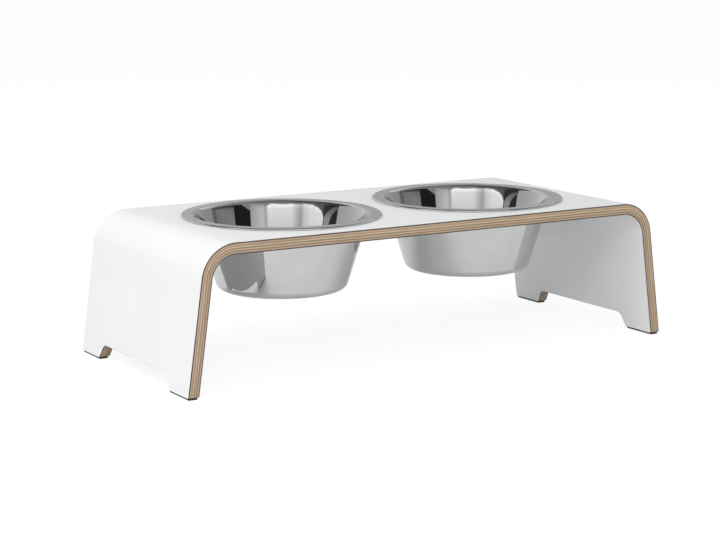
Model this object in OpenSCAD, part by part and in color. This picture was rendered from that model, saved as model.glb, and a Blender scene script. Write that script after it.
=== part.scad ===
// Raised feeder for a dog: a bench pressed from wood veneers between two white
// laminate sheets, with two drawn steel bowls that drop into holes in its top.
// Millimetres, Z up. The origin is on the floor, under the middle of the bench.
// X runs along the bench and Y from its front edge to its back edge.

/* [Bench] */
// Length over the feet, at the floor
stand_length = 585; // [560:1:680]
// Width from the front edge to the back edge
stand_width = 252; // [232:1:320]
// Height of the top surface above the floor
stand_height = 150; // [125:1:220]
// Outward lean of each leg from upright, in degrees
leg_lean = 8; // [2:0.5:13]
// Inside radius of the two bends
bend_radius = 26; // [15:0.5:34]

/* [Board] */
// Thickness of one wood veneer
veneer_thickness = 1.35; // [1:0.05:1.8]
// Thickness of the laminate sheet on each face
laminate_thickness = 1.2; // [0.6:0.1:1.6]

/* [Foot notch] */
// Length of the notch along its top, between its corners before rounding
notch_length = 147; // [100:1:170]
// Height of the top of the notch above the floor
notch_height = 16.8; // [14:0.2:30]
// Slant of the notch's ends from upright, in degrees
notch_slant = 30; // [5:1:40]
// Radius inside the two top corners of the notch
notch_radius = 9; // [3:0.5:10]
// Radius on the foot's corner beside the notch
mouth_radius = 3; // [1:0.5:4]
// Radius on the foot's corner at the front or back edge
foot_radius = 1.8; // [1:0.2:4]

/* [Pads] */
// Thickness of the pad under each foot
pad_thickness = 1.9; // [0.8:0.1:4]
// Distance from the foot's outline in to the pad
pad_inset = 1.2; // [0.6:0.1:3]
// Corner radius of the pad
pad_radius = 1; // [0.4:0.1:2]

/* [Bowls] */
// Distance between the centres of the bowls
bowl_spacing = 235.6; // [220:0.2:250]
// Outside diameter of the bowl's wall, level with the top surface
bowl_diameter = 183.4; // [160:0.2:186]
// Outside diameter of the base, before its edge is rounded
base_diameter = 135.2; // [100:0.2:150]
// Depth of the base below the top surface
bowl_depth = 77.5; // [50:0.5:100]
// Outside radius between the wall and the base
base_radius = 10.5; // [4:0.5:20]
// Thickness of the steel sheet
sheet_thickness = 0.8; // [0.5:0.1:1]
// Outside radius between the wall and the flat rim
lip_radius = 3.5; // [2:0.1:5]
// Outside diameter of the rim
rim_diameter = 210; // [202:0.5:218]
// Height of the rim above the top surface
rim_height = 2.6; // [2.2:0.1:4]
// How far the rolled edge of the rim is pressed flat where it rests
seat_flat = 0.1; // [0.05:0.05:0.3]
// Gap between the bowl's wall and the edge of its hole
hole_clearance = 1.6; // [0.6:0.1:3]

/* [Hidden] */
$fn = 96;
// An odd number of veneers, light and brown by turns
veneer_count = 7;
sides = ["left", "right"];
ends = ["front", "rear"];

// How far a cutter runs past the face that it cuts
spill = 2;
// Overlap that lets a round stretch always cross the straight one that it runs into
hair = 0.001;
// Angle that the rolled edge turns through, from the flat rim round to its hem
roll_sweep = 240;

// Bends: the outer face has its corner at corner_x, and bend_x, bend_z is the centre of the bend
board_thickness = veneer_count * veneer_thickness + 2 * laminate_thickness;
outer_bend = bend_radius + board_thickness;
corner_x = stand_length / 2 - stand_height * tan(leg_lean);
bend_x = corner_x - outer_bend * (1 - sin(leg_lean)) / cos(leg_lean);
bend_z = stand_height - outer_bend;

// Notch, from the middle of the leg towards one edge
notch_centre = [
    notch_length / 2 + notch_radius * (tan(notch_slant) - 1 / cos(notch_slant)),
    notch_height - notch_radius
];
mouth_y = notch_end(pad_thickness);

// Bowl section: the wall leans by taper, and heights are from the top surface
taper = atan((bowl_diameter - base_diameter) / 2 / bowl_depth);
base_z = base_radius - bowl_depth;
base_centre = [wall_r(base_z) - base_radius / cos(taper), base_z];
under_lip = sheet_thickness / 2;
roll_radius = (rim_height + seat_flat) / 2;
roll_centre = [rim_diameter / 2 - roll_radius, rim_height - roll_radius];
hole_diameter = bowl_diameter + 2 * hole_clearance;

function veneer_name(i) = str("veneer_", i);
function pad_name(end, side) = str("pad_", end, "_", side);
function bowl_name(side) = str("bowl_", side);
function side_sign(side) = side == "left" ? -1 : 1;
function along(angle) = [cos(angle), sin(angle)];

// Point at radius r from the bend's centre, where the bend runs into the leg
function leg_top(r) = [bend_x, bend_z] + r * along(leg_lean);
// Where the leg's face at that radius meets the foot's underside
function foot_x(r) = leg_top(r)[0] + (leg_top(r)[1] - pad_thickness) * tan(leg_lean);
// Half the length of the notch at height z
function notch_end(z) = notch_length / 2 + (notch_height - z) * tan(notch_slant);
// Outside radius of the bowl's wall at height z
function wall_r(z) = bowl_diameter / 2 + z * tan(taper);

// Part of a ring, from one angle through a sweep
module arc_strip(centre, inner, thickness, start, sweep) {
    far = 4 * (inner + thickness);
    translate(centre)
        intersection() {
            difference() {
                circle(inner + thickness);
                circle(inner);
            }
            polygon(concat([[0, 0]], [for (i = [0 : 4]) far * along(start + sweep * i / 4)]));
        }
}

// What lies outside a rounded corner whose two edges leave it at these angles
module corner_waste(corner, first, second, radius, past = spill) {
    half = (second - first) / 2;
    middle = (second + first) / 2;
    centre = corner + radius / sin(half) * along(middle);
    outside = radius + past;
    difference() {
        polygon([
            centre,
            centre + outside * along(first - 90),
            centre - outside / sin(half) * along(middle),
            centre + outside * along(second + 90)
        ]);
        translate(centre)
            circle(radius + hair);
    }
}

// Everything under the face that lies at this depth in the board
module bent_block(depth, width) {
    r = outer_bend - depth;
    half = [
        [bend_x, bend_z + r],
        leg_top(r),
        [foot_x(r), pad_thickness]
    ];
    rotate([90, 0, 0])
        linear_extrude(width, center = true)
            polygon(concat(half, [for (i = [2 : -1 : 0]) [-half[i][0], half[i][1]]]));
    for (side = sides)
        translate([side_sign(side) * bend_x, 0, bend_z])
            rotate([90, 0, 0])
                cylinder(h = width, r = r + hair, center = true);
}

// Outline of what is cut from the lower edge of a leg, seen along the bench
module leg_waste() {
    for (way = [0, 1])
        mirror([way, 0]) {
            polygon([
                [0, -spill],
                [0, notch_height],
                [notch_centre[0], notch_height],
                notch_centre + notch_radius * along(notch_slant),
                [notch_end(-spill), -spill]
            ]);
            corner_waste([mouth_y, pad_thickness], 0, 90 + notch_slant, mouth_radius);
            corner_waste([stand_width / 2, pad_thickness], 90, 180, foot_radius);
            translate(notch_centre)
                circle(notch_radius + hair);
        }
}

module bowl_hole(side) {
    translate([side_sign(side) * bowl_spacing / 2, 0, stand_height - board_thickness - spill])
        cylinder(h = board_thickness + 2 * spill, d = hole_diameter);
}

// One layer of the board, bent and then trimmed with the rest
module layer(depth, thickness) {
    difference() {
        bent_block(depth, stand_width);
        bent_block(depth + thickness, stand_width + 2 * spill);
        rotate([90, 0, 90])
            linear_extrude(stand_length + 2 * spill, center = true)
                leg_waste();
        for (side = sides)
            bowl_hole(side);
    }
}

module outer_laminate() {
    color("white")
        layer(0, laminate_thickness);
}

// Veneers are counted from the outer face; the odd ones are light
module veneer(i) {
    color(i % 2 == 1 ? "tan" : "peru")
        layer(laminate_thickness + (i - 1) * veneer_thickness, veneer_thickness);
}

module inner_laminate() {
    color("whitesmoke")
        layer(board_thickness - laminate_thickness, laminate_thickness);
}

// Thin pad stuck under a foot, a little smaller than the foot
module pad(end, side) {
    inside = foot_x(bend_radius) + pad_inset;
    outside = foot_x(outer_bend) - pad_inset;
    near = mouth_y + pad_inset;
    far = stand_width / 2 - pad_inset;
    color("black")
        mirror([side == "left" ? 1 : 0, 0, 0])
            mirror([0, end == "front" ? 1 : 0, 0])
                linear_extrude(pad_thickness)
                    difference() {
                        translate([inside, near])
                            square([outside - inside, far - near]);
                        corner_waste([inside, near], 0, 90, pad_radius);
                        corner_waste([outside, near], 90, 180, pad_radius);
                        corner_waste([outside, far], 180, 270, pad_radius);
                        corner_waste([inside, far], 270, 360, pad_radius);
                    }
}

// Solid cup whose wall and base lie this far in from the outside of the bowl
module cup(inset, top) {
    corner = base_centre + (base_radius - inset) * along(-taper);
    rotate_extrude()
        polygon([
            [0, top],
            [0, inset - bowl_depth],
            [base_centre[0], inset - bowl_depth],
            corner,
            [corner[0] + (top - corner[1]) * tan(taper), top]
        ]);
    rotate_extrude()
        translate(base_centre)
            circle(base_radius - inset + hair);
}

// Rolled edge of the rim, pressed flat underneath
module rolled_edge() {
    rotate_extrude()
        difference() {
            arc_strip(
                roll_centre, roll_radius - sheet_thickness, sheet_thickness,
                90 - roll_sweep, roll_sweep
            );
            translate([roll_centre[0] - roll_radius - spill, -spill])
                square([2 * (roll_radius + spill), spill]);
        }
}

// One drawn sheet, from the middle of the base to the rolled edge
module bowl_sheet() {
    under_rim = rim_height - sheet_thickness;
    inner_lip = [wall_r(rim_height) - sheet_thickness / cos(taper), rim_height];
    wall_down = 270 - taper;
    difference() {
        union() {
            cup(0, rim_height);
            translate([0, 0, under_rim])
                cylinder(h = sheet_thickness, r = roll_centre[0]);
            rotate_extrude()
                corner_waste([wall_r(under_rim), under_rim], wall_down, 360, lip_radius, under_lip);
        }
        cup(sheet_thickness, rim_height + spill);
        rotate_extrude()
            corner_waste(inner_lip, wall_down, 360, lip_radius + sheet_thickness);
    }
    rolled_edge();
}

module bowl(side) {
    color("silver")
        translate([side_sign(side) * bowl_spacing / 2, 0, stand_height])
            bowl_sheet();
}

outer_laminate();
for (i = [1 : veneer_count])
    veneer(i);
inner_laminate();
for (end = ends)
    for (side = sides)
        pad(end, side);
for (side = sides)
    bowl(side);
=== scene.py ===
"""Raised dog feeder: a bench of bent veneers between white laminates, two steel bowls and four pads.

Metres, Z up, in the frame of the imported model: X along the bench, Y from its front edge to its back.
"""

import math

import bmesh
import bpy
from mathutils import Matrix, Vector


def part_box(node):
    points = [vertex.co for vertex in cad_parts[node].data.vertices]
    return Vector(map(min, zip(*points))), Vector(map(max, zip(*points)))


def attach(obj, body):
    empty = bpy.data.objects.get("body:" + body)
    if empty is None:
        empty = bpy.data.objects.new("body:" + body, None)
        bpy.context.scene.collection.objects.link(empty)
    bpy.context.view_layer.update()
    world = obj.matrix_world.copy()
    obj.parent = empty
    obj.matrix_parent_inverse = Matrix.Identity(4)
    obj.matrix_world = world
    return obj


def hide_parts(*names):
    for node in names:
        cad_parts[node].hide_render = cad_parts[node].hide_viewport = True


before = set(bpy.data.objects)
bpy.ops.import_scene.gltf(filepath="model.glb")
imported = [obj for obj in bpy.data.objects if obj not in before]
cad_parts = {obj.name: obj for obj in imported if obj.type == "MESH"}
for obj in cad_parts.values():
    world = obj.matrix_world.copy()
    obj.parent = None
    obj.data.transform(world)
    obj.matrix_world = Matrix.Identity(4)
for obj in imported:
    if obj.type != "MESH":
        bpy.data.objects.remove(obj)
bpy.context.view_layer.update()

MM = 0.001

# Bench: heights, width and layers come from the frame
LAYERS = ["outer_laminate"] + [f"veneer_{i}" for i in range(1, 8)] + ["inner_laminate"]
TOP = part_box("outer_laminate")[1].z
HALF_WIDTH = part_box("outer_laminate")[1].y
FOOT_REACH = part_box("outer_laminate")[1].x
PAD_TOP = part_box("pad_front_left")[1].z
DEPTHS = [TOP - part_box(layer)[1].z for layer in LAYERS]
LAMINATE = DEPTHS[1]
VENEER = DEPTHS[2] - DEPTHS[1]
BOARD = DEPTHS[-1] + LAMINATE
LEG_LEAN = math.radians(8)
INSIDE_BEND = 26 * MM
EASED_EDGE = 0.25 * MM
# Distance from a bend to the row of points that keeps the flat beside it flat
FLAT_SUPPORT = 0.4 * MM

OUTER_BEND = INSIDE_BEND + BOARD
BEND_ANGLE = math.pi / 2 - LEG_LEAN
BEND_Z = TOP - OUTER_BEND
BEND_X = FOOT_REACH - OUTER_BEND / math.cos(LEG_LEAN) - (BEND_Z - PAD_TOP) * math.tan(LEG_LEAN)
# Rows of the straight leg start at the height LEG_START, a drop below the inner end of the bend. On the
# flat blank that is LEG_RUN, a gap past the end of the bend, and points this near to it count as leg
LEG_DROP = 3 * MM
LEG_GAP = 5 * MM
LEG_NEAR = 1 * MM
LEG_START = BEND_Z + INSIDE_BEND * math.sin(LEG_LEAN) - LEG_DROP
LEG_RUN = BEND_X + OUTER_BEND * BEND_ANGLE + LEG_GAP
LEG_ROWS = (0, 0.3, 0.6, 0.85, 1)
BEND_STEPS = 28
# Points closer than this become one, and folds sharper than this, in degrees, stay sharp
WELD = 0.01 * MM
LAYER_SHARP = 30

# Notch in the lower edge of each leg
NOTCH_LENGTH = 147 * MM
NOTCH_HEIGHT = 16.8 * MM
NOTCH_SLANT = 30
NOTCH_RADIUS = 9 * MM
MOUTH_RADIUS = 3 * MM
FOOT_RADIUS = 1.8 * MM
# Steps along the notch's top, its corner, its mouth, the foot and the foot's corner
NOTCH_STEPS = (9, 6, 4, 6, 4)

# White laminate. In every finish a grain is in features per metre, each tone has its place on the grain,
# and the shine is the roughness at both ends of the grain
WHITE_CLOUDS = 14
WHITE_PEARL = 1400
WHITE_TONES = [(0.3, (0.795, 0.797, 0.806)), (0.7, (0.815, 0.816, 0.823))]
WHITE_SHINE = (0.40, 0.5)
WHITE_GLOSS = 0.3
PEARL_DEPTH = 0.02 * MM
PEARL_STRENGTH = 0.25
# Its cut edge
CORE_PAPERS = (120, 120, 6000)
CORE_TONES = [(0.3, (0.040, 0.026, 0.018)), (0.75, (0.085, 0.058, 0.040))]
CORE_SHINE = (0.42, 0.6)

# Woods by turns: grain along, across and through the board, and tones from dark to pale
WOODS = {
    "light": ((55, 700, 4200), [(0.33, 0.24, 0.153), (0.432, 0.332, 0.233), (0.505, 0.408, 0.304)]),
    "brown": ((2600, 45, 2600), [(0.165, 0.106, 0.059), (0.268, 0.184, 0.109), (0.365, 0.263, 0.164)]),
}
TONE_PLACES = (0.30, 0.5, 0.68)
# Shade of each veneer of its wood, from the outer one to the inner one
VENEER_SHADES = [0.97, 1.13, 1.06, 0.86, 0.96, 0.84, 0.84]
WOOD_PATCHES = (28, 28, 900)
PATCH_SHARE = 0.35
WOOD_SHINE = (0.5, 0.72)
FIBRE_DEPTH = 0.05 * MM
FIBRE_STRENGTH = 0.4
# Glue line: where it starts to fade and ends, as shares of a veneer, and how much of its colour shows
GLUE_FADE = (0.02, 0.07)
GLUE_SHARE = 0.4
GLUE_COLOUR = (0.13, 0.075, 0.04, 1)
# How far the dark resin of the outer laminate soaks into the first veneer, and how much of it shows
RESIN_REACH = 0.5 * MM
RESIN_SHARE = 0.75

# Bowls: middle, rim and depth come from the frame
BOWLS = {"left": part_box("bowl_left"), "right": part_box("bowl_right")}
BOWL_MIDDLE = {side: (low.x + high.x) / 2 for side, (low, high) in BOWLS.items()}
RIM_RADIUS = (BOWLS["left"][1].x - BOWLS["left"][0].x) / 2
RIM_HEIGHT = BOWLS["left"][1].z - TOP
BOWL_DEPTH = TOP - BOWLS["left"][0].z
WALL_RADIUS = 91.7 * MM
BASE_REACH = 67.6 * MM
BASE_RADIUS = 10.5 * MM
SHEET = 0.8 * MM
LIP_RADIUS = 3.5 * MM
ROLL_SWEEP = 240
SEAT_FLAT = 0.1 * MM
HOLE_PLAY = 1.6 * MM
HOLE_RADIUS = WALL_RADIUS + HOLE_PLAY
# Square of the blank round a hole: half its length, steps along it and rings from the hole out to it
SQUARE_REACH = 112 * MM
SQUARE_STEPS = 48
SQUARE_RINGS = (0, 0.05, 0.4, 1)

# Bowl's mesh: steps round it and along the round stretches of its section
BOWL_STEPS = 192
BASE_STEPS = 16
LIP_STEPS = 12
HEM_STEPS = 20
ROLL_STEPS = 40
# Few steps inside the lip, and no point just below it, let the wall's shading run on into the lip
INSIDE_LIP_STEPS = 4
# Points on a straight stretch: two in the middle, and the most that the others keep from its ends
MIDDLE_SHARES = (0.35, 0.65)
END_SHARE = 0.3
BOWL_WELD = 0.002 * MM
BOWL_SHARP = 40
# Places in the section's list of stretches
BASE_EDGE = 1
LIP = 2
INSIDE_LIP = 5
INSIDE_BASE_EDGE = 6

# Polished steel
STEEL_RINGS = (2.5, 2.5, 2600)
STEEL_HAZE = (3, 3, 40)
STEEL_TONES = [(0.3, (0.585, 0.585, 0.592)), (0.7, (0.625, 0.625, 0.632))]
STEEL_SHINE = (0.02, 0.06)
RING_DEPTH = 0.004 * MM
RING_STRENGTH = 0.1
# The outside wall is shaded this much more upright, in degrees, from this step of the base's edge up
WALL_EASE = 3.8
WALL_FOOT_STEP = 12
# The inside wall's upper part is shaded as if the right bowl lay this far out of level, in degrees along
# X and along Y, and the left bowl the other way. Further down it comes back at this share of the rate
WELL_TILT = (0.72, -0.22)
WELL_RETURN = 0.5

# Pads
PAD_CORNER = 1 * MM
PAD_CORNER_STEPS = 8
PAD_EASE = 0.25 * MM
PAD_EASE_MIDDLE = 0.3 * PAD_EASE
PAD_PORES = 2200
PAD_TONES = [(0.35, (0.012, 0.012, 0.012)), (0.7, (0.028, 0.027, 0.026))]
PAD_SHINE = (0.7, 0.9)
PORE_DEPTH = 0.08 * MM
PORE_STRENGTH = 0.5

# Floor: tones under the lamps, grey and glow that the camera sees, and glow that polished steel sees
FLOOR_REACH = 12.0
FLOOR_CLOUDS = 3
FLOOR_TONES = [(0.3, (0.79, 0.79, 0.795)), (0.7, (0.81, 0.81, 0.81))]
SEEN_GREY = (0.22, 0.22, 0.22, 1)
SEEN_GLOW = 0.84
MIRRORED_GLOW = 0.1
# Surroundings: their strength as light, and as the camera and polished steel see them
WHITE = (1, 1, 1, 1)
ROOM_LIGHT = 0.654
ROOM_SEEN = 1.0
# Lamps: place, aim, size and power
LAMPS = {
    "side lamp": ((-1.3, -0.2, 1.5), (-0.1, 0, 0.1), 1.0, 11.8),
    "front lamp": ((-1.5, -2.2, 2.0), (0.1, 0, 0.1), 1.1, 22.6),
    "low lamp": ((-0.4, -3.2, 0.5), (0.1, 0, 0.1), 1.2, 32.6),
}

# Studio: a ring of glowing grey cards that only polished surfaces see, painting the reflections in the
# steel. Each has its ends as azimuths from the camera in degrees, its top as an elevation at each end,
# its grey at each end and the gain at its top
STUDIO_RADIUS = 10.0
CARD_STEPS = 8
# A card keeps its grey up to this elevation. It takes up a third of its gain by the band below its top
CARD_MIDDLE = 22
TOP_BAND = 2
CARDS = [
    ("left_back_wall", (-180, -145), (24, 36), (0.45, 0.76), 1.0),
    ("left_far_wall", (-145, -110), (36, 32), (0.80, 0.60), 1.0),
    ("left_wall", (-110, -86), (32, 24.5), (0.58, 0.53), 1.0),
    ("left_flag", (-86, -62.5), (29, 30), (0.03, 0.05), 1.0),
    ("left_panel_corner", (-62.5, -59.5), (25.8, 28.2), (1.02, 1.02), 1.2),
    ("left_panel_bend", (-59.5, -55), (28.2, 30.2), (1.02, 1.02), 1.3),
    ("left_panel_side", (-55, -45), (30.2, 32.8), (1.02, 0.98), 1.4),
    ("left_panel", (-45, -33), (32.8, 34.4), (0.98, 0.78), 1.6),
    ("left_fold", (-33, -27), (34.4, 34.7), (0.78, 0.46), 1.6),
    ("front_fold", (-27, -15), (34.7, 35.4), (0.46, 0.84), 1.7),
    ("front_panel", (-15, 16), (35.5, 35.5), (0.87, 0.88), 1.85),
    ("front_panel_corner", (16, 22), (35.5, 34.6), (0.88, 0.88), 1.85),
    ("right_fold", (22, 25), (34.6, 34.0), (0.84, 0.58), 1.4),
    ("right_panel", (25, 30), (34.0, 34.2), (0.58, 0.80), 0.75),
    ("right_front_wall", (30, 49.2), (34.2, 33), (0.84, 0.55), 0.7),
    ("right_flag_edge", (49.2, 63), (29.9, 30.6), (0.018, 0.018), 1.0),
    ("right_flag", (63, 75), (30.6, 28.6), (0.018, 0.018), 1.0),
    ("right_wall", (75, 107), (28.5, 25), (0.31, 0.27), 0.25),
    ("right_post", (107, 115), (24, 23), (0.20, 0.16), 1.0),
    ("right_far_wall", (115, 145), (23, 24), (0.36, 0.42), 1.3),
    ("right_back_wall", (145, 180), (24, 24), (0.45, 0.45), 1.3),
]
# Grey of the ceiling above the cards, by azimuth, and right overhead. It glows as a painted reflection
CEILING = [
    (-180, 0.45), (-160, 0.85), (-145, 1.0), (-134, 0.85), (-124, 0.08), (-86, 0.07), (-60, 0.14),
    (-25, 0.2), (-8, 0.31), (46, 0.31), (66, 0.36), (80, 0.3), (108, 0.36), (118, 0.55), (137, 0.8),
    (157, 1.0), (180, 0.45),
]
OVERHEAD_GREY = 0.08
OVERHEAD = 1.6 * STUDIO_RADIUS
# Ribbons in front of the cards: azimuth and elevation of points on both edges, and a grey at each end.
# A pale strap curves across the left flag, and a dark edge runs along the top of the right wall. Both
# glow
# only for polished surfaces: a painted pale reflection and a painted dark line in the steel
RIBBON_DISTANCE = 0.98 * STUDIO_RADIUS
RIBBONS = {
    "painted_strap_reflection": ([
        ((-64.8, 13), (-71.5, 13)), ((-64.2, 23.0), (-72.6, 21.9)), ((-63.5, 25.1), (-74.3, 23.3)),
        ((-65.6, 26.1), (-75.6, 23.9)), ((-69.0, 26.6), (-77.0, 24.3)), ((-74.6, 26.8), (-80.9, 24.6)),
        ((-83.5, 25.8), (-86.0, 24.5)),
    ], (0.48, 0.15)),
    "painted_dark_line": ([
        ((75, 27.3), (75, 37)), ((82.6, 25.6), (82.6, 37)), ((95.5, 22.5), (95.5, 35)),
        ((104, 20.2), (104, 33)), ((112, 17.9), (112, 30)),
    ], (0.05, 0.14)),
}

# Camera, from the edges of the bench and the rims of the bowls in the photograph
IMAGE_WIDTH = 720
FOCAL_PIXELS = 1936.03
SENSOR_WIDTH = 36
CAMERA_AT = Vector((-1.09615, -1.74925, 0.46155))
CAMERA_AZIMUTH = math.radians(-31.5633)
CAMERA_ELEVATION = math.radians(10.4643)
CAMERA_ROLL = math.radians(0.0420)


# Helpers for node trees

def add_node(tree, kind, inputs=None, **settings):
    """One node: settings are its own properties, and inputs its sockets by name or number."""
    made = tree.nodes.new(kind)
    for name, value in settings.items():
        setattr(made, name, value)
    for name, value in (inputs or {}).items():
        if isinstance(value, bpy.types.NodeSocket):
            tree.links.new(value, made.inputs[name])
        else:
            made.inputs[name].default_value = value
    return made


def calc(tree, operation, *values):
    """Output of a Math node on these sockets or numbers."""
    return add_node(tree, "ShaderNodeMath", dict(enumerate(values)), operation=operation).outputs[0]


def mixed(tree, share, first, second, kind="FLOAT"):
    """Output of a Mix node: this share of the second, the rest of the first."""
    inputs = {"Factor": share, "A": first, "B": second}
    return add_node(tree, "ShaderNodeMix", inputs, data_type=kind).outputs["Result"]


def new_tree(name, sockets):
    """A Geometry Nodes tree with these named inputs, and the outputs of its input node by name."""
    tree = bpy.data.node_groups.new(name, "GeometryNodeTree")
    tree.interface.new_socket("Geometry", in_out="INPUT", socket_type="NodeSocketGeometry")
    tree.interface.new_socket("Geometry", in_out="OUTPUT", socket_type="NodeSocketGeometry")
    for socket, kind in sockets.items():
        tree.interface.new_socket(socket, in_out="INPUT", socket_type=kind)
    return tree, add_node(tree, "NodeGroupInput").outputs


def smooth_faces(tree, geometry, sharpest):
    """Smooth shading, apart from edges sharper than this angle in degrees."""
    smooth = add_node(tree, "GeometryNodeSetShadeSmooth", {"Geometry": geometry}, domain="FACE")
    fold = add_node(tree, "GeometryNodeInputMeshEdgeAngle").outputs["Unsigned Angle"]
    sharp = calc(tree, "GREATER_THAN", fold, math.radians(sharpest))
    return add_node(tree, "GeometryNodeSetShadeSmooth", {
        "Geometry": smooth.outputs[0], "Selection": sharp, "Shade Smooth": False,
    }, domain="EDGE").outputs[0]


def shape_by(piece, tree, sizes):
    """Runs the tree on the piece with these sizes, and keeps the result as its plain mesh."""
    modifier = piece.modifiers.new(tree.name, "NODES")
    modifier.node_group = tree
    for socket in tree.interface.items_tree:
        if socket.in_out == "INPUT" and socket.name in sizes:
            modifier[socket.identifier] = sizes[socket.name]
    graph = bpy.context.evaluated_depsgraph_get()
    shaped = bpy.data.meshes.new_from_object(
        piece.evaluated_get(graph), preserve_all_data_layers=True, depsgraph=graph
    )
    piece.modifiers.remove(modifier)
    piece.data = shaped
    # A mesh that came without a finish has an empty first slot
    if shaped.materials[0] is None:
        shaped.materials.pop(index=0)
    return piece


def new_piece(name, mesh):
    """An object for the mesh, at the origin."""
    piece = bpy.data.objects.new(name, mesh)
    bpy.context.scene.collection.objects.link(piece)
    return piece


def arc(centre, radius, start, end, steps):
    """Points of a round stretch between two angles in degrees."""
    angles = [math.radians(start + (end - start) * i / steps) for i in range(steps + 1)]
    return [(centre[0] + radius * math.cos(a), centre[1] + radius * math.sin(a)) for a in angles]


def spaced(start, end, steps):
    """Evenly spaced numbers from start to end."""
    return [start + (end - start) * i / steps for i in range(steps + 1)]


# Finishes

def new_finish(name):
    """An empty material with its Principled shader, as (material, tree, shader)."""
    finish = bpy.data.materials.new(name)
    finish.use_nodes = True
    tree = finish.node_tree
    return finish, tree, tree.nodes["Principled BSDF"]


def noise(tree, vector, scale, detail=2.0, roughness=0.5):
    """Grey level of a noise on these coordinates."""
    made = add_node(
        tree, "ShaderNodeTexNoise",
        {"Vector": vector, "Scale": scale, "Detail": detail, "Roughness": roughness},
    )
    return made.outputs["Fac"]


def stretched(tree, vector, scale):
    """The coordinates scaled along each axis."""
    return add_node(tree, "ShaderNodeMapping", {"Vector": vector, "Scale": scale}).outputs["Vector"]


def ramp(tree, level, stops):
    """Colour of the level between these stops, each a place and a colour."""
    made = add_node(tree, "ShaderNodeValToRGB", {"Fac": level})
    points = made.color_ramp.elements
    while len(points) < len(stops):
        points.new(0.5)
    for point, (place, colour) in zip(points, stops):
        point.position = place
        point.color = (*colour, 1)
    return made.outputs["Color"]


def span(tree, level, low, high):
    """The level from 0 to 1 spread between two numbers."""
    made = add_node(tree, "ShaderNodeMapRange", {"Value": level, "To Min": low, "To Max": high})
    return made.outputs["Result"]


def bumps(tree, height, depth, strength, normal=None):
    """The normal, or the surface's own, roughened by the height."""
    made = add_node(
        tree, "ShaderNodeBump", {"Height": height, "Distance": depth, "Strength": strength}
    )
    if normal:
        tree.links.new(normal, made.inputs["Normal"])
    return made.outputs["Normal"]


def white_laminate():
    """Satin white sheet with a fine pearl grain and a faint cloudiness."""
    finish, tree, shader = new_finish("white laminate")
    place = add_node(tree, "ShaderNodeTexCoord").outputs["Object"]
    cloud = noise(tree, place, WHITE_CLOUDS, detail=3)
    pearl = noise(tree, place, WHITE_PEARL, detail=2)
    shader.inputs["Specular IOR Level"].default_value = WHITE_GLOSS
    tree.links.new(ramp(tree, cloud, WHITE_TONES), shader.inputs["Base Color"])
    tree.links.new(span(tree, pearl, *WHITE_SHINE), shader.inputs["Roughness"])
    tree.links.new(bumps(tree, pearl, PEARL_DEPTH, PEARL_STRENGTH), shader.inputs["Normal"])
    return finish


def laminate_core():
    """Cut edge of the laminate: dark brown paper layers pressed with resin."""
    finish, tree, shader = new_finish("laminate core")
    grain = add_node(tree, "ShaderNodeAttribute", attribute_name="grain").outputs["Vector"]
    papers = noise(tree, stretched(tree, grain, CORE_PAPERS), 1, detail=3)
    tree.links.new(ramp(tree, papers, CORE_TONES), shader.inputs["Base Color"])
    tree.links.new(span(tree, papers, *CORE_SHINE), shader.inputs["Roughness"])
    return finish


def veneer_finish(name, fibre, tones, shade):
    """Cut edge of a veneer. Fibre gives the grain's fineness along, across and through the board."""
    finish, tree, shader = new_finish(name)
    grain = add_node(tree, "ShaderNodeAttribute", attribute_name="grain").outputs["Vector"]
    fibres = noise(tree, stretched(tree, grain, fibre), 1, detail=4, roughness=0.62)
    patches = noise(tree, stretched(tree, grain, WOOD_PATCHES), 1, detail=2)
    shaded = [[shade * part for part in tone] for tone in tones]
    wood = ramp(tree, mixed(tree, PATCH_SHARE, fibres, patches), list(zip(TONE_PLACES, shaded)))
    depth = add_node(tree, "ShaderNodeSeparateXYZ", {"Vector": grain}).outputs["Z"]
    under_laminate = calc(tree, "SUBTRACT", depth, LAMINATE)
    off_joint = calc(tree, "PINGPONG", calc(tree, "DIVIDE", under_laminate, VENEER), 0.5)
    glue = add_node(tree, "ShaderNodeMapRange", {
        "Value": off_joint, "From Min": GLUE_FADE[0], "From Max": GLUE_FADE[1],
        "To Min": GLUE_SHARE, "To Max": 0.0,
    }).outputs["Result"]
    resin = add_node(tree, "ShaderNodeMapRange", {
        "Value": under_laminate, "From Max": RESIN_REACH, "To Min": RESIN_SHARE, "To Max": 0.0,
    }).outputs["Result"]
    stained = mixed(tree, calc(tree, "MAXIMUM", glue, resin), wood, GLUE_COLOUR, "RGBA")
    tree.links.new(stained, shader.inputs["Base Color"])
    tree.links.new(span(tree, fibres, *WOOD_SHINE), shader.inputs["Roughness"])
    tree.links.new(bumps(tree, fibres, FIBRE_DEPTH, FIBRE_STRENGTH), shader.inputs["Normal"])
    return finish


def eased_wall(tree, run, wall):
    """Height that turns the outside wall more upright, from its foot to its head along the section."""
    foot, head = wall
    drop = (head - foot) * math.tan(math.radians(WALL_EASE))
    return add_node(tree, "ShaderNodeMapRange", {
        "Value": run, "From Min": foot, "From Max": head, "To Min": drop, "To Max": 0.0,
    }).outputs["Result"]


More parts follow.
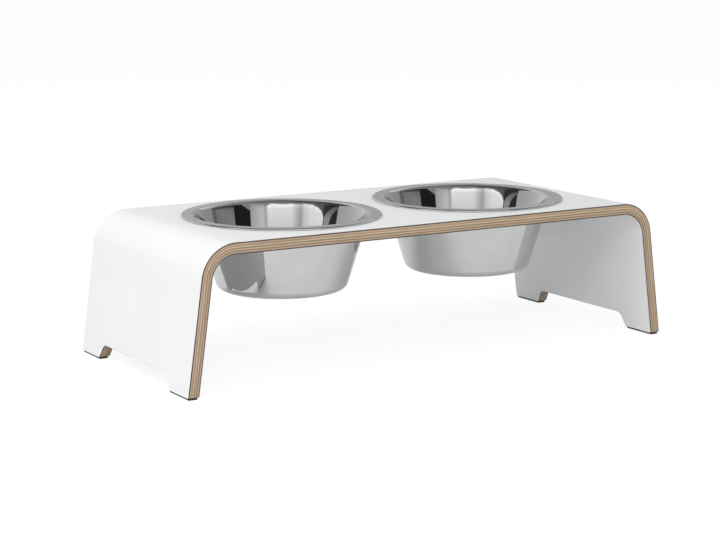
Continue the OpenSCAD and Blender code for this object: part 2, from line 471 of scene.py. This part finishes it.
def tilted_well(tree, east, north, run, well):
    """Height that tilts the inside wall, from its head to its foot along the section."""
    head, foot = well
    place = add_node(tree, "ShaderNodeTexCoord").outputs["Object"]
    side = calc(tree, "SIGN", add_node(tree, "ShaderNodeSeparateXYZ", {"Vector": place}).outputs["X"])
    back = calc(tree, "MULTIPLY", calc(tree, "SUBTRACT", foot, run), WELL_RETURN)
    within = calc(tree, "MINIMUM", calc(tree, "SUBTRACT", run, head), back)
    below = calc(tree, "MAXIMUM", within, 0.0)
    slope_x, slope_y = [math.tan(math.radians(tilt)) for tilt in WELL_TILT]
    slope = calc(
        tree, "ADD", calc(tree, "MULTIPLY", east, -slope_x), calc(tree, "MULTIPLY", north, -slope_y)
    )
    return calc(tree, "MULTIPLY", below, calc(tree, "MULTIPLY", slope, side))


def polished_steel(wall, well):
    """Polished sheet with faint rings from spinning, its walls eased and tilted a little."""
    finish, tree, shader = new_finish("polished steel")
    shader.inputs["Metallic"].default_value = 1
    spun = add_node(tree, "ShaderNodeAttribute", attribute_name="spun").outputs["Vector"]
    rings = noise(tree, stretched(tree, spun, STEEL_RINGS), 1, detail=3)
    haze = noise(tree, stretched(tree, spun, STEEL_HAZE), 1, detail=2)
    polish = span(tree, mixed(tree, 0.5, rings, haze), *STEEL_SHINE)
    tree.links.new(ramp(tree, haze, STEEL_TONES), shader.inputs["Base Color"])
    tree.links.new(polish, shader.inputs["Roughness"])
    east, north, run = add_node(tree, "ShaderNodeSeparateXYZ", {"Vector": spun}).outputs
    height = calc(tree, "ADD", eased_wall(tree, run, wall), tilted_well(tree, east, north, run, well))
    turned = bumps(tree, height, depth=1.0, strength=1.0)
    ringed = bumps(tree, rings, RING_DEPTH, RING_STRENGTH, turned)
    tree.links.new(ringed, shader.inputs["Normal"])
    return finish


def black_pad():
    """Matt black rubber with fine pores."""
    finish, tree, shader = new_finish("black pad")
    place = add_node(tree, "ShaderNodeTexCoord").outputs["Object"]
    pores = noise(tree, place, PAD_PORES, detail=3)
    tree.links.new(ramp(tree, pores, PAD_TONES), shader.inputs["Base Color"])
    tree.links.new(span(tree, pores, *PAD_SHINE), shader.inputs["Roughness"])
    tree.links.new(bumps(tree, pores, PORE_DEPTH, PORE_STRENGTH), shader.inputs["Normal"])
    return finish


# Board: one flat blank, bent nine times at its own depth

def leg_outline():
    """Lower edge of a leg from its front edge to its back edge, as (y, height) points."""
    slant = math.radians(NOTCH_SLANT)
    notch_middle = (
        NOTCH_LENGTH / 2 + NOTCH_RADIUS * (math.tan(slant) - 1 / math.cos(slant)),
        NOTCH_HEIGHT - NOTCH_RADIUS,
    )
    mouth = NOTCH_LENGTH / 2 + (NOTCH_HEIGHT - PAD_TOP) * math.tan(slant)
    half_corner = math.radians(90 + NOTCH_SLANT) / 2
    mouth_middle = (mouth + MOUTH_RADIUS / math.tan(half_corner), PAD_TOP + MOUTH_RADIUS)
    foot_middle = (HALF_WIDTH - FOOT_RADIUS, PAD_TOP + FOOT_RADIUS)
    top_steps, corner_steps, mouth_steps, foot_steps, end_steps = NOTCH_STEPS
    half = [(y, NOTCH_HEIGHT) for y in spaced(0, notch_middle[0], top_steps)[:-1]]
    half += arc(notch_middle, NOTCH_RADIUS, 90, NOTCH_SLANT, corner_steps)
    half += arc(mouth_middle, MOUTH_RADIUS, 180 + NOTCH_SLANT, 270, mouth_steps)
    half += [(y, PAD_TOP) for y in spaced(mouth_middle[0], foot_middle[0], foot_steps)[1:-1]]
    half += arc(foot_middle, FOOT_RADIUS, -90, 0, end_steps)
    return [(-y, z) for y, z in half[:0:-1]] + half


def add_rows(blank, rows):
    """Faces between neighbouring rows of points."""
    made = [[blank.verts.new((u, y, 0)) for u, y in row] for row in rows]
    for near, far in zip(made, made[1:]):
        for i in range(len(near) - 1):
            blank.faces.new((near[i], far[i], far[i + 1], near[i + 1]))


def hole_rows(middle, edge):
    """Rings of points from the edge of a bowl's hole out to the square round it."""
    across = [(SQUARE_REACH, y) for y in edge]
    along = [(u, HALF_WIDTH) for u in spaced(SQUARE_REACH, -SQUARE_REACH, SQUARE_STEPS)[1:-1]]
    square = across + along
    square += [(-u, -y) for u, y in square]
    square.append(square[0])
    rings = []
    for share in SQUARE_RINGS:
        ring = []
        for place in square:
            outer = Vector(place)
            hole = outer * HOLE_RADIUS / math.hypot(*place)
            point = hole.lerp(outer, share)
            ring.append((middle + point.x, point.y))
        rings.append(ring)
    return rings


def mark_inward(blank):
    """Stores on each rim point of the blank how far it moves for the edge to come in by one."""
    inward = blank.verts.layers.float_vector.new("inward")
    sides = {}
    for edge in blank.edges:
        if edge.is_boundary:
            first, second = edge.verts
            way = (second.co - first.co).normalized()
            normal = Vector((-way.y, way.x, 0))
            to_face = edge.link_faces[0].calc_center_median() - first.co
            if normal.dot(to_face) < 0:
                normal.negate()
            sides.setdefault(first, []).append(normal)
            sides.setdefault(second, []).append(normal)
    for point, (one, other) in sides.items():
        point[inward] = (one + other) / (1 + one.dot(other))


def flat_blank():
    """The board's outline laid flat: length along the board, width, and both holes."""
    outline = leg_outline()
    edge = spaced(-HALF_WIDTH, HALF_WIDTH, len(outline) - 1)
    inner_end = BOWL_MIDDLE["right"] - SQUARE_REACH
    outer_end = BOWL_MIDDLE["right"] + SQUARE_REACH
    rows = [[(u, y) for y in edge] for u in (outer_end, BEND_X - FLAT_SUPPORT, BEND_X)]
    for turn in spaced(0, BEND_ANGLE, BEND_STEPS)[1:]:
        rows.append([(BEND_X + OUTER_BEND * turn, y) for y in edge])
    for share in LEG_ROWS:
        row = []
        for start, (end, height) in zip(edge, outline):
            row.append((LEG_RUN + (LEG_START - height) * share, start + (end - start) * share))
        rows.append(row)
    blank = bmesh.new()
    add_rows(blank, rows)
    add_rows(blank, [[(-u, y) for u, y in row] for row in reversed(rows)])
    add_rows(blank, [[(u, y) for y in edge] for u in (-inner_end, inner_end)])
    for middle in BOWL_MIDDLE.values():
        rings = hole_rows(middle, edge)
        add_rows(blank, [list(reversed(ring)) for ring in reversed(rings)])
    bmesh.ops.remove_doubles(blank, verts=blank.verts, dist=WELD)
    mark_inward(blank)
    mesh = bpy.data.meshes.new("flat blank")
    blank.to_mesh(mesh)
    blank.free()
    return mesh


def thick_layer(tree, given):
    """The blank as a plate from 0, its hidden face, to 1, its exposed face with the eased edge."""
    thickness = calc(
        tree, "ABSOLUTE", calc(tree, "SUBTRACT", given["Hidden depth"], given["Exposed depth"])
    )
    ease = calc(tree, "DIVIDE", given["Eased edge"], thickness)
    upright = add_node(tree, "ShaderNodeCombineXYZ", {"Z": 1.0}).outputs[0]
    lower = add_node(tree, "GeometryNodeExtrudeMesh", {
        "Mesh": given["Geometry"], "Offset": upright,
        "Offset Scale": calc(tree, "SUBTRACT", 1.0, ease), "Individual": False,
    })
    upper = add_node(tree, "GeometryNodeExtrudeMesh", {
        "Mesh": lower.outputs["Mesh"], "Selection": lower.outputs["Top"], "Offset": upright,
        "Offset Scale": ease, "Individual": False,
    })
    inward = add_node(
        tree, "GeometryNodeInputNamedAttribute", {"Name": "inward"}, data_type="FLOAT_VECTOR"
    )
    drawn_in = add_node(
        tree, "ShaderNodeVectorMath", {0: inward.outputs["Attribute"], "Scale": given["Eased edge"]},
        operation="SCALE",
    )
    eased = add_node(tree, "GeometryNodeSetPosition", {
        "Geometry": upper.outputs["Mesh"], "Selection": upper.outputs["Top"],
        "Offset": drawn_in.outputs[0],
    })
    sides = add_node(tree, "FunctionNodeBooleanMath", {
        0: lower.outputs["Side"], 1: upper.outputs["Side"],
    }, operation="OR")
    marked = add_node(tree, "GeometryNodeStoreNamedAttribute", {
        "Geometry": eased.outputs[0], "Name": "cut_edge", "Value": sides.outputs[0],
    }, data_type="BOOLEAN", domain="FACE")
    under = add_node(tree, "GeometryNodeFlipFaces", {"Mesh": given["Geometry"]})
    whole = add_node(tree, "GeometryNodeJoinGeometry")
    tree.links.new(marked.outputs[0], whole.inputs[0])
    tree.links.new(under.outputs[0], whole.inputs[0])
    closed = add_node(
        tree, "GeometryNodeMergeByDistance", {"Geometry": whole.outputs[0], "Distance": WELD}
    )
    return closed.outputs[0]


def board_place(tree, given):
    """A point's place along the board, across it and down through it, before the board is bent."""
    position = add_node(tree, "GeometryNodeInputPosition").outputs[0]
    along, across, level = add_node(tree, "ShaderNodeSeparateXYZ", {0: position}).outputs
    depth = add_node(tree, "ShaderNodeMapRange", {
        "Value": level, "To Min": given["Hidden depth"], "To Max": given["Exposed depth"],
    }).outputs["Result"]
    return along, across, depth


def bent_place(tree, given, along, across, depth):
    """The point's place on the bent board: on the flat top, then on an arc, then on the straight leg."""
    run = calc(tree, "ABSOLUTE", along)
    radius = calc(tree, "SUBTRACT", given["Bend radius"], depth)
    past_start = calc(tree, "SUBTRACT", run, given["Bend start"])
    past = calc(tree, "DIVIDE", past_start, given["Bend radius"])
    full_turn = calc(tree, "SUBTRACT", math.pi / 2, given["Leg lean"])
    turn = calc(tree, "MINIMUM", calc(tree, "MAXIMUM", past, 0.0), full_turn)
    bend_x = calc(
        tree, "ADD", calc(tree, "MINIMUM", run, given["Bend start"]),
        calc(tree, "MULTIPLY", radius, calc(tree, "SINE", turn)),
    )
    bend_z = calc(
        tree, "ADD", given["Bend height"], calc(tree, "MULTIPLY", radius, calc(tree, "COSINE", turn))
    )
    leg_z = calc(tree, "ADD", calc(tree, "SUBTRACT", given["Leg start"], run), given["Leg run"])
    leg_head = calc(
        tree, "ADD", given["Bend start"],
        calc(tree, "DIVIDE", radius, calc(tree, "COSINE", given["Leg lean"])),
    )
    leg_reach = calc(
        tree, "MULTIPLY", calc(tree, "SUBTRACT", given["Bend height"], leg_z),
        calc(tree, "TANGENT", given["Leg lean"]),
    )
    leg_x = calc(tree, "ADD", leg_head, leg_reach)
    in_leg = calc(tree, "GREATER_THAN", run, calc(tree, "SUBTRACT", given["Leg run"], LEG_NEAR))
    far = mixed(tree, in_leg, bend_x, leg_x)
    high = mixed(tree, in_leg, bend_z, leg_z)
    return add_node(tree, "ShaderNodeCombineXYZ", {
        0: calc(tree, "MULTIPLY", far, calc(tree, "SIGN", along)), 1: across, 2: high,
    }).outputs[0]


def finish_layer(tree, geometry, given):
    """Ends the bent layer: shading, plain faces, the face's finish and the cut edge's finish."""
    shaded = smooth_faces(tree, geometry, LAYER_SHARP)
    plain = add_node(tree, "GeometryNodeRealizeInstances", {0: shaded})
    faced = add_node(tree, "GeometryNodeSetMaterial", {
        "Geometry": plain.outputs[0], "Material": given["Face finish"],
    })
    cut = add_node(tree, "GeometryNodeInputNamedAttribute", {"Name": "cut_edge"}, data_type="BOOLEAN")
    edged = add_node(tree, "GeometryNodeSetMaterial", {
        "Geometry": faced.outputs[0], "Selection": cut.outputs["Attribute"],
        "Material": given["Edge finish"],
    })
    add_node(tree, "NodeGroupOutput", {0: edged.outputs[0]})


def bent_layer_tree():
    """Thickens the flat blank, eases its exposed edge and bends it round both corners of the bench."""
    size = "NodeSocketFloat"
    tree, given = new_tree("bent layer", {
        "Exposed depth": size, "Hidden depth": size, "Eased edge": size,
        "Bend radius": size, "Bend start": size, "Bend height": size, "Leg lean": size,
        "Leg start": size, "Leg run": size,
        "Face finish": "NodeSocketMaterial", "Edge finish": "NodeSocketMaterial",
    })
    along, across, depth = board_place(tree, given)
    grain = add_node(tree, "ShaderNodeCombineXYZ", {0: along, 1: across, 2: depth})
    grained = add_node(tree, "GeometryNodeStoreNamedAttribute", {
        "Geometry": thick_layer(tree, given), "Name": "grain", "Value": grain.outputs[0],
    }, data_type="FLOAT_VECTOR", domain="POINT")
    bent = add_node(tree, "GeometryNodeSetPosition", {
        "Geometry": grained.outputs[0], "Position": bent_place(tree, given, along, across, depth),
    })
    # The inner laminate is exposed on its other side, which turns the faces round
    inside_out = add_node(
        tree, "FunctionNodeCompare", {0: given["Exposed depth"], 1: given["Hidden depth"]},
        data_type="FLOAT", operation="GREATER_THAN",
    )
    turned = add_node(tree, "GeometryNodeFlipFaces", {
        "Mesh": bent.outputs[0], "Selection": inside_out.outputs["Result"],
    })
    finish_layer(tree, turned.outputs[0], given)
    return tree


def build_board():
    """The nine layers of the bench, each its own piece."""
    white = white_laminate()
    core = laminate_core()
    tree = bent_layer_tree()
    blank = flat_blank()
    bounds = DEPTHS + [BOARD]
    for i, layer in enumerate(LAYERS):
        exposed, hidden = bounds[i], bounds[i + 1]
        face, edge, slot = white, core, "white_laminate"
        if layer.startswith("veneer"):
            wood = "light" if i % 2 else "brown"
            face = edge = veneer_finish(f"{wood} {layer}", *WOODS[wood], VENEER_SHADES[i - 1])
            slot = f"{wood}_veneer"
        if layer == "inner_laminate":
            exposed, hidden = hidden, exposed
        piece = new_piece(f"bent_{layer}", blank.copy())
        piece.data.materials.append(face)
        shape_by(piece, tree, {
            "Exposed depth": exposed, "Hidden depth": hidden,
            "Eased edge": EASED_EDGE if face is white else 0.0,
            "Bend radius": OUTER_BEND, "Bend start": BEND_X, "Bend height": BEND_Z,
            "Leg lean": LEG_LEAN, "Leg start": LEG_START, "Leg run": LEG_RUN,
            "Face finish": face, "Edge finish": edge,
        })
        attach(piece, "stand")
        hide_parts(layer)


# Bowls: one section of sheet steel, spun round its axis

def between(start, end):
    """Points on a straight stretch, close to its ends so that the shading beside a bend stays flat."""
    length = math.dist(start, end)
    near = min(FLAT_SUPPORT / length, END_SHARE)
    return [
        (start[0] + (end[0] - start[0]) * share, start[1] + (end[1] - start[1]) * share)
        for share in (near, *MIDDLE_SHARES, 1 - near)
    ]


def bowl_section():
    """Outline of the sheet as (radius, height), from the middle of its base outside to that inside.

    Also the place of the first point of each stretch in it.
    """
    taper = math.atan((WALL_RADIUS - BASE_REACH) / BOWL_DEPTH)
    lean = math.degrees(taper)
    base_level = BASE_RADIUS - BOWL_DEPTH
    base_centre = (
        WALL_RADIUS + base_level * math.tan(taper) - BASE_RADIUS / math.cos(taper), base_level
    )
    roll = (RIM_HEIGHT + SEAT_FLAT) / 2
    roll_centre = (RIM_RADIUS - roll, RIM_HEIGHT - roll)
    under_rim = RIM_HEIGHT - SHEET
    lip_level = under_rim - LIP_RADIUS
    lip_centre = (
        WALL_RADIUS + lip_level * math.tan(taper) + LIP_RADIUS / math.cos(taper), lip_level
    )
    stretches = [
        [(0, -BOWL_DEPTH)],
        arc(base_centre, BASE_RADIUS, -90, -lean, BASE_STEPS),
        arc(lip_centre, LIP_RADIUS, 180 - lean, 90, LIP_STEPS),
        arc(roll_centre, roll - SHEET, 90, 90 - ROLL_SWEEP, HEM_STEPS),
        [(r, max(z, 0.0)) for r, z in arc(roll_centre, roll, 90 - ROLL_SWEEP, 90, ROLL_STEPS)],
        arc(lip_centre, LIP_RADIUS + SHEET, 90, 180 - lean, INSIDE_LIP_STEPS),
        arc(base_centre, BASE_RADIUS - SHEET, -lean, -90, BASE_STEPS),
        [(0, SHEET - BOWL_DEPTH)],
    ]
    section = list(stretches[0])
    starts = [0]
    for i, stretch in enumerate(stretches[1:], 1):
        straight = between(section[-1], stretch[0])
        section += straight[1:] if i == INSIDE_BASE_EDGE else straight
        starts.append(len(section))
        section += stretch
    return section, starts


def spun_bowl_tree():
    """Turns a section in the XZ plane round an upright axis."""
    tree, given = new_tree("spun bowl", {
        "Steps round": "NodeSocketInt", "Middle": "NodeSocketVector", "Finish": "NodeSocketMaterial",
    })
    size = add_node(tree, "GeometryNodeAttributeDomainSize", {0: given["Geometry"]})
    across = calc(tree, "ADD", given["Steps round"], 1.0)
    sheet = add_node(tree, "GeometryNodeMeshGrid", {
        "Vertices X": size.outputs["Point Count"], "Vertices Y": across,
    })
    index = add_node(tree, "GeometryNodeInputIndex").outputs[0]
    # Half a point past the index keeps the division clear of whole numbers
    point = calc(tree, "FLOOR", calc(tree, "DIVIDE", calc(tree, "ADD", index, 0.5), across))
    step = calc(tree, "SUBTRACT", index, calc(tree, "MULTIPLY", point, across))
    angle = calc(tree, "DIVIDE", calc(tree, "MULTIPLY", step, 2 * math.pi), given["Steps round"])
    section = add_node(tree, "GeometryNodeSampleIndex", {
        "Geometry": given["Geometry"], "Index": point,
        "Value": add_node(tree, "GeometryNodeInputPosition").outputs[0],
    }, data_type="FLOAT_VECTOR", domain="POINT")
    radius, ring, height = add_node(tree, "ShaderNodeSeparateXYZ", {0: section.outputs[0]}).outputs
    east = calc(tree, "COSINE", angle)
    north = calc(tree, "SINE", angle)
    place = add_node(tree, "ShaderNodeCombineXYZ", {
        0: calc(tree, "MULTIPLY", radius, east),
        1: calc(tree, "MULTIPLY", radius, north),
        2: height,
    })
    moved = add_node(
        tree, "ShaderNodeVectorMath", {0: place.outputs[0], 1: given["Middle"]}, operation="ADD"
    )
    spun = add_node(tree, "GeometryNodeSetPosition", {
        "Geometry": sheet.outputs["Mesh"], "Position": moved.outputs[0],
    })
    rings = add_node(tree, "ShaderNodeCombineXYZ", {0: east, 1: north, 2: ring})
    ringed = add_node(tree, "GeometryNodeStoreNamedAttribute", {
        "Geometry": spun.outputs[0], "Name": "spun", "Value": rings.outputs[0],
    }, data_type="FLOAT_VECTOR", domain="POINT")
    closed = add_node(
        tree, "GeometryNodeMergeByDistance", {"Geometry": ringed.outputs[0], "Distance": BOWL_WELD}
    )
    outward = add_node(tree, "GeometryNodeFlipFaces", {"Mesh": closed.outputs[0]})
    shaded = smooth_faces(tree, outward.outputs[0], BOWL_SHARP)
    plain = add_node(tree, "GeometryNodeRealizeInstances", {0: shaded})
    finished = add_node(
        tree, "GeometryNodeSetMaterial", {"Geometry": plain.outputs[0], "Material": given["Finish"]}
    )
    add_node(tree, "NodeGroupOutput", {0: finished.outputs[0]})
    return tree


def section_runs(points):
    """Length along the section up to each of its points."""
    runs = [0.0]
    for near, far in zip(points, points[1:]):
        runs.append(runs[-1] + math.dist(near, far))
    return runs


def section_mesh(points, runs):
    """The section as a line of points, with the length up to each of them kept as its y."""
    mesh = bpy.data.meshes.new("bowl section")
    places = [(radius, run, height) for (radius, height), run in zip(points, runs)]
    mesh.from_pydata(places, [(i, i + 1) for i in range(len(points) - 1)], [])
    return mesh


def build_bowls():
    """Both bowls, each on its own body."""
    points, starts = bowl_section()
    runs = section_runs(points)
    wall = (runs[starts[BASE_EDGE] + WALL_FOOT_STEP], runs[starts[LIP]])
    well = (runs[starts[INSIDE_LIP] + INSIDE_LIP_STEPS], runs[starts[INSIDE_BASE_EDGE]])
    steel = polished_steel(wall, well)
    tree = spun_bowl_tree()
    section = section_mesh(points, runs)
    for side, middle in BOWL_MIDDLE.items():
        piece = new_piece(f"spun_bowl_{side}", section)
        shape_by(piece, tree, {
            "Steps round": BOWL_STEPS, "Middle": (middle, 0.0, TOP), "Finish": steel,
        })
        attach(piece, f"{side}_bowl")
        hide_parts(f"bowl_{side}")


# Pads

def pad_mesh(name, low, high):
    """Thin bar with rounded corners and eased lower edges."""
    left, right = low.x + PAD_CORNER, high.x - PAD_CORNER
    front, back = low.y + PAD_CORNER, high.y - PAD_CORNER
    corners = [((right, back), 0), ((left, back), 90), ((left, front), 180), ((right, front), 270)]
    levels = [
        (low.z, PAD_EASE), (low.z + PAD_EASE_MIDDLE, PAD_EASE_MIDDLE), (low.z + PAD_EASE, 0.0),
        (high.z, 0.0),
    ]
    rings = []
    bar = bmesh.new()
    for height, inset in levels:
        ring = []
        for centre, start in corners:
            for x, y in arc(centre, PAD_CORNER - inset, start, start + 90, PAD_CORNER_STEPS):
                ring.append(bar.verts.new((x, y, height)))
        rings.append(ring)
    for lower, upper in zip(rings, rings[1:]):
        for i in range(len(lower)):
            bar.faces.new((lower[i - 1], lower[i], upper[i], upper[i - 1]))
    bar.faces.new(list(reversed(rings[0])))
    bar.faces.new(rings[-1])
    mesh = bpy.data.meshes.new(name)
    bar.to_mesh(mesh)
    bar.free()
    return mesh


def build_pads():
    """The four pads under the feet."""
    rubber = black_pad()
    for end in ("front", "rear"):
        for side in ("left", "right"):
            node = f"pad_{end}_{side}"
            mesh = pad_mesh(f"foot_{node}", *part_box(node))
            mesh.materials.append(rubber)
            piece = new_piece(f"foot_{node}", mesh)
            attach(piece, "stand")
            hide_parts(node)


# Studio

def ray_kinds(tree):
    """1 for a ray from the camera, and 1 for a ray that a polished or clear surface sends on."""
    path = add_node(tree, "ShaderNodeLightPath").outputs
    mirrored = calc(tree, "MAXIMUM", path["Is Glossy Ray"], path["Is Transmission Ray"])
    return path["Is Camera Ray"], mirrored


def build_floor():
    """Pale floor: white with a faint shadow to the camera, with its full shadow to polished steel."""
    finish, tree, shader = new_finish("pale floor")
    tree.nodes.remove(shader)
    seen, mirrored = ray_kinds(tree)
    place = add_node(tree, "ShaderNodeTexCoord").outputs["Object"]
    paper = ramp(tree, noise(tree, place, FLOOR_CLOUDS), FLOOR_TONES)
    shade = add_node(
        tree, "ShaderNodeBsdfDiffuse", {"Color": mixed(tree, seen, paper, SEEN_GREY, "RGBA")}
    )
    strength = calc(
        tree, "ADD",
        calc(tree, "MULTIPLY", seen, SEEN_GLOW), calc(tree, "MULTIPLY", mirrored, MIRRORED_GLOW),
    )
    glow = add_node(tree, "ShaderNodeEmission", {"Color": WHITE, "Strength": strength})
    white = add_node(tree, "ShaderNodeAddShader", {0: shade.outputs[0], 1: glow.outputs[0]})
    tree.links.new(white.outputs[0], tree.nodes["Material Output"].inputs["Surface"])
    mesh = bpy.data.meshes.new("floor")
    ways = ((-1, -1), (1, -1), (1, 1), (-1, 1))
    mesh.from_pydata([(x * FLOOR_REACH, y * FLOOR_REACH, 0) for x, y in ways], [], [(0, 1, 2, 3)])
    mesh.materials.append(finish)
    new_piece("floor", mesh)


def build_world():
    """Even white surroundings, a little softer as light than as background."""
    world = bpy.data.worlds.new("white surroundings")
    bpy.context.scene.world = world
    world.use_nodes = True
    tree = world.node_tree
    surroundings = tree.nodes["Background"]
    surroundings.inputs["Color"].default_value = WHITE
    shown = calc(tree, "MAXIMUM", *ray_kinds(tree))
    tree.links.new(span(tree, shown, ROOM_LIGHT, ROOM_SEEN), surroundings.inputs["Strength"])


def part_way(stops, place):
    """Value at a place between stops, each a place and a value."""
    for (start, low), (end, high) in zip(stops, stops[1:]):
        if start <= place <= end:
            return low + (high - low) * (place - start) / (end - start)
    return stops[-1][1]


def seen_at(azimuth, elevation, distance=STUDIO_RADIUS):
    """Point that the bench sees at this azimuth from the camera and this elevation."""
    turn = math.radians(azimuth) + CAMERA_AZIMUTH
    height = distance * math.tan(math.radians(elevation))
    return (distance * math.sin(turn), -distance * math.cos(turn), height)


def add_glowing(name, points, greys, faces, finish):
    """A part of the studio that glows by the grey of its points, for polished surfaces alone."""
    mesh = bpy.data.meshes.new(name)
    mesh.from_pydata(points, [], faces)
    mesh.attributes.new("grey", "FLOAT", "POINT").data.foreach_set("value", greys)
    mesh.materials.append(finish)
    card = new_piece(name, mesh)
    card.visible_camera = False
    card.visible_diffuse = False
    card.visible_transmission = False
    card.visible_shadow = False


def card_column(azimuth, top, level, gain):
    """Points of a card from the floor up to its top, then of the ceiling above it, and their greys."""
    card = [seen_at(azimuth, elevation) for elevation in (0, CARD_MIDDLE, top - TOP_BAND, top)]
    card_greys = [level, level, level * (2 + gain) / 3, level * gain]
    ceiling = [card[-1], (0, 0, OVERHEAD)]
    ceiling_greys = [part_way(CEILING, azimuth), OVERHEAD_GREY]
    return card + ceiling, card_greys + ceiling_greys


def build_reflection_cards():
    """Upright glowing cards round the bench, a grey ceiling above them and ribbons in front of them."""
    # All of them glow for polished surfaces alone: they paint the reflections in the steel
    finish, tree, shader = new_finish("glowing reflection card")
    tree.nodes.remove(shader)
    grey = add_node(tree, "ShaderNodeAttribute", attribute_name="grey").outputs["Fac"]
    glow = add_node(tree, "ShaderNodeEmission", {"Color": WHITE, "Strength": grey})
    tree.links.new(glow.outputs[0], tree.nodes["Material Output"].inputs["Surface"])
    for name, *spans, gain in CARDS:
        points, greys, faces = [], [], []
        for share in spaced(0, 1, CARD_STEPS):
            azimuth, top, level = [start + (end - start) * share for start, end in spans]
            column, column_greys = card_column(azimuth, top, level, gain)
            if points:
                far = len(points)
                near = far - len(column)
                # Three faces up the card, then one of the ceiling up to its middle
                faces += [(near + k, far + k, far + k + 1, near + k + 1) for k in range(3)]
                faces.append((near + 4, far + 4, far + 5))
            points += column
            greys += column_greys
        add_glowing(name, points, greys, faces, finish)
    for name, (ribbon, ends_grey) in RIBBONS.items():
        points = []
        for edges in ribbon:
            points += [seen_at(azimuth, elevation, RIBBON_DISTANCE) for azimuth, elevation in edges]
        faces = [(i, i + 1, i + 3, i + 2) for i in range(0, len(points) - 2, 2)]
        add_glowing(name, points, spaced(*ends_grey, len(points) - 1), faces, finish)


def add_lamp(name, place, aim, size, power):
    """A square soft lamp at a place, aimed at a point."""
    light = bpy.data.lights.new(name, "AREA")
    light.size = size
    light.energy = power
    lamp = bpy.data.objects.new(name, light)
    bpy.context.scene.collection.objects.link(lamp)
    lamp.location = place
    lamp.rotation_euler = (Vector(aim) - Vector(place)).to_track_quat("-Z", "Y").to_euler()
    lamp.visible_camera = False
    lamp.visible_glossy = False


def build_camera():
    """The photograph's camera."""
    data = bpy.data.cameras.new("camera")
    data.sensor_width = SENSOR_WIDTH
    data.lens = SENSOR_WIDTH * FOCAL_PIXELS / IMAGE_WIDTH
    camera = bpy.data.objects.new("camera", data)
    bpy.context.scene.collection.objects.link(camera)
    back = Vector((
        math.sin(CAMERA_AZIMUTH) * math.cos(CAMERA_ELEVATION),
        -math.cos(CAMERA_AZIMUTH) * math.cos(CAMERA_ELEVATION),
        math.sin(CAMERA_ELEVATION),
    ))
    level = Vector((0, 0, 1)).cross(back).normalized()
    upright = back.cross(level)
    right = level * math.cos(CAMERA_ROLL) + upright * math.sin(CAMERA_ROLL)
    up = upright * math.cos(CAMERA_ROLL) - level * math.sin(CAMERA_ROLL)
    turned = Matrix((right, up, back)).transposed().to_4x4()
    camera.matrix_world = Matrix.Translation(CAMERA_AT) @ turned
    bpy.context.scene.camera = camera


build_board()
build_bowls()
build_pads()
build_floor()
build_world()
build_reflection_cards()
for lamp_name, lamp_values in LAMPS.items():
    add_lamp(lamp_name, *lamp_values)
build_camera()
bpy.context.scene.view_settings.view_transform = "Standard"
